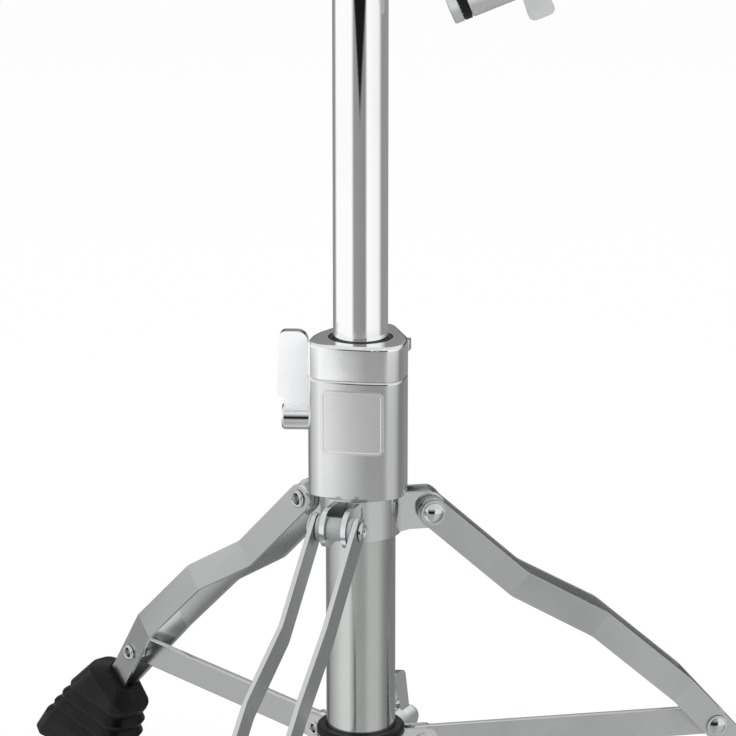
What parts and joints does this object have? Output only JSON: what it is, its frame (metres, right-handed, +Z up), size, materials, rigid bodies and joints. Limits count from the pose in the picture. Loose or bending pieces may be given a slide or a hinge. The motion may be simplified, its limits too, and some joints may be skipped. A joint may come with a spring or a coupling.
{
  "type": "snare drum stand",
  "caption": "Chromed folding snare drum stand with double-strip tripod legs, ribbed rubber feet, telescopic tube, wing-bolt height clamp, tilter and clawed basket.",
  "frame": {"origin": "on the tube's axis at floor level, midway between the three feet", "axes": "+Z up along the tubes; the front leg points to -Y"},
  "size_m": [0.401, 0.35, 0.5078],
  "materials": {
    "tube_chrome": "mirror chrome plate on drawn steel tube and turned steel",
    "cast_chrome": "chrome plate on zinc castings",
    "leg_steel": "chrome plate on pressed steel strip, a little softer than the tubes",
    "black_rubber": "moulded black rubber with a soft sheen",
    "black_nylon": "black moulded nylon",
    "pale_nylon": "off-white nylon spacer"
  },
  "bodies": {
    "base": {"lower_tube": "tube_chrome", "tube_plug": "black_nylon", "height_collar": "cast_chrome", "height_bush": "black_nylon", "badge_plate": "cast_chrome", "leg_collar": "tube_chrome", "leg_pivot_rivets": "tube_chrome", "leg_pivot_bushes": "pale_nylon"},
    "lower_collar": {"lower_collar": "cast_chrome", "lower_sleeve": "black_nylon", "brace_rivets": "tube_chrome"},
    "lower_wing_bolt": {"lower_wing_bolt": "cast_chrome"},
    "height_wing_bolt": {"height_wing_bolt": "cast_chrome"},
    "memory_lock": {"memory_lock": "cast_chrome", "lock_screw": "tube_chrome", "lock_liner": "black_nylon"},
    "upper_tube": {"upper_tube": "tube_chrome", "tube_guide": "black_nylon", "tilter_base": "cast_chrome", "tilter_washer": "black_nylon", "tilter_bolt": "tube_chrome"},
    "basket": {"basket_bracket": "cast_chrome", "basket_shaft": "tube_chrome", "basket_hub": "cast_chrome", "arm_pins": "tube_chrome"},
    "tilter_wing_nut": {"tilter_wing_nut": "cast_chrome"},
    "basket_nut": {"basket_nut": "tube_chrome"},
    "front_leg": {"front_leg_left_strip": "leg_steel", "front_leg_right_strip": "leg_steel", "front_foot": "black_rubber", "front_foot_rivet": "tube_chrome"},
    "front_brace": {"front_brace": "leg_steel"},
    "front_arm": {"front_arm": "tube_chrome", "front_grip": "black_rubber"},
    "right_leg": {"right_leg_left_strip": "leg_steel", "right_leg_right_strip": "leg_steel", "right_foot": "black_rubber", "right_foot_rivet": "tube_chrome"},
    "right_brace": {"right_brace": "leg_steel"},
    "right_arm": {"right_arm": "tube_chrome", "right_grip": "black_rubber"},
    "left_leg": {"left_leg_left_strip": "leg_steel", "left_leg_right_strip": "leg_steel", "left_foot": "black_rubber", "left_foot_rivet": "tube_chrome"},
    "left_brace": {"left_brace": "leg_steel"},
    "left_arm": {"left_arm": "tube_chrome", "left_grip": "black_rubber"}
  },
  "joints": [
    {"name": "leg_fold", "type": "slide", "parent": "base", "child": "lower_collar", "axis": [0, 0, 1], "range_m": [0, 0.06674]},
    {"name": "front_leg_turn", "type": "hinge", "parent": "base", "child": "front_leg", "pos_m": [0, -0.0282, 0.161], "axis": [1, 0, 0], "range_deg": [0, 42]},
    {"name": "right_leg_turn", "type": "hinge", "parent": "base", "child": "right_leg", "pos_m": [0.02442, 0.0141, 0.161], "axis": [-0.5, 0.866, 0], "range_deg": [0, 42]},
    {"name": "left_leg_turn", "type": "hinge", "parent": "base", "child": "left_leg", "pos_m": [-0.02442, 0.0141, 0.161], "axis": [-0.5, -0.866, 0], "range_deg": [0, 42]},
    {"name": "front_brace_turn", "type": "hinge", "parent": "lower_collar", "child": "front_brace", "pos_m": [0, -0.026, 0.05882], "axis": [1, 0, 0], "range_deg": [0, 78.16]},
    {"name": "right_brace_turn", "type": "hinge", "parent": "lower_collar", "child": "right_brace", "pos_m": [0.02252, 0.013, 0.05882], "axis": [-0.5, 0.866, 0], "range_deg": [0, 78.16]},
    {"name": "left_brace_turn", "type": "hinge", "parent": "lower_collar", "child": "left_brace", "pos_m": [-0.02252, 0.013, 0.05882], "axis": [-0.5, -0.866, 0], "range_deg": [0, 78.16]},
    {"name": "lower_wing_turn", "type": "hinge", "parent": "lower_collar", "child": "lower_wing_bolt", "pos_m": [0.00493, 0.03111, 0.05682], "axis": [0.1564, 0.9877, 0], "range_deg": [0, 360]},
    {"name": "height_wing_turn", "type": "hinge", "parent": "base", "child": "height_wing_bolt", "pos_m": [-0.01975, -0.00585, 0.2003], "axis": [-0.9588, -0.284, 0], "range_deg": [0, 360]},
    {"name": "height_slide", "type": "slide", "parent": "base", "child": "memory_lock", "axis": [0, 0, 1], "range_m": [0, 0.09]},
    {"name": "tube_swivel", "type": "hinge", "parent": "memory_lock", "child": "upper_tube", "pos_m": [0, 0, 0.227], "axis": [0, 0, 1], "continuous": true},
    {"name": "basket_tilt", "type": "hinge", "parent": "upper_tube", "child": "basket", "pos_m": [0.02856, 0.01011, 0.378], "axis": [0.874, 0.3095, 0.3746], "range_deg": [-25, 25]},
    {"name": "tilter_nut_turn", "type": "hinge", "parent": "basket", "child": "tilter_wing_nut", "pos_m": [0.02856, 0.01011, 0.378], "axis": [0.874, 0.3095, 0.3746], "range_deg": [0, 360]},
    {"name": "basket_close", "type": "slide", "parent": "basket", "child": "basket_nut", "axis": [0, 0, 1], "range_m": [0, 0.0024]},
    {"name": "front_arm_turn", "type": "hinge", "parent": "basket", "child": "front_arm", "pos_m": [0, -0.016, 0.4595], "axis": [-1, 0, 0], "range_deg": [0, 20]},
    {"name": "right_arm_turn", "type": "hinge", "parent": "basket", "child": "right_arm", "pos_m": [0.01386, 0.008, 0.4595], "axis": [0.5, -0.866, 0], "range_deg": [0, 20]},
    {"name": "left_arm_turn", "type": "hinge", "parent": "basket", "child": "left_arm", "pos_m": [-0.01386, 0.008, 0.4595], "axis": [0.5, 0.866, 0], "range_deg": [0, 20]}
  ],
  "couplings": [
    {"joint": "front_leg_turn", "follows": "leg_fold", "rad_per_m": 10.983},
    {"joint": "right_leg_turn", "follows": "leg_fold", "rad_per_m": 10.983},
    {"joint": "left_leg_turn", "follows": "leg_fold", "rad_per_m": 10.983},
    {"joint": "front_brace_turn", "follows": "leg_fold", "rad_per_m": 20.439},
    {"joint": "right_brace_turn", "follows": "leg_fold", "rad_per_m": 20.439},
    {"joint": "left_brace_turn", "follows": "leg_fold", "rad_per_m": 20.439},
    {"joint": "front_arm_turn", "follows": "basket_close", "rad_per_m": 145.44},
    {"joint": "right_arm_turn", "follows": "basket_close", "rad_per_m": 145.44},
    {"joint": "left_arm_turn", "follows": "basket_close", "rad_per_m": 145.44}
  ]
}
